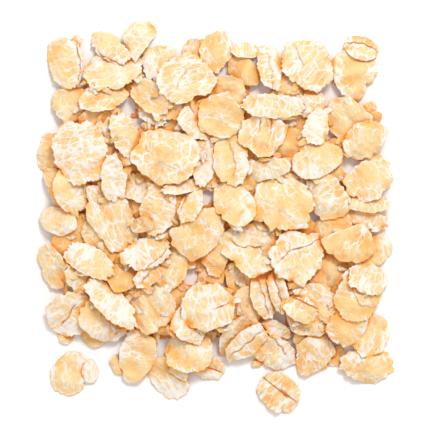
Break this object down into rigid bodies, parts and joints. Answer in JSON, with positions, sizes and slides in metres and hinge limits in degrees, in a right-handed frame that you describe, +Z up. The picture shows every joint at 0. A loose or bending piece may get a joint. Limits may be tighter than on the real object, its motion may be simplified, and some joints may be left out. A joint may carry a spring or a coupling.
{
  "type": "heap of wheat flakes",
  "caption": "Low, roughly square heap of loose rolled wheat flakes lying on a flat surface, with stray flakes beside it; dry food.",
  "frame": {"origin": "on the surface that the heap lies on, under the middle of the whole", "axes": "+X to the right, +Y to the heap's far side, +Z up"},
  "size_m": [0.071, 0.0786, 0.0062],
  "materials": {
    "heap_flakes": "dry rolled wheat: matt tan bran skin cracked over floury white starch",
    "stray_flakes": "dry rolled wheat: matt tan bran skin cracked over floury white starch"
  },
  "bodies": {
    "root": {"flake_heap": "heap_flakes", "stray_flake_left": "stray_flakes", "stray_flake_front": "stray_flakes"}
  },
  "joints": []
}
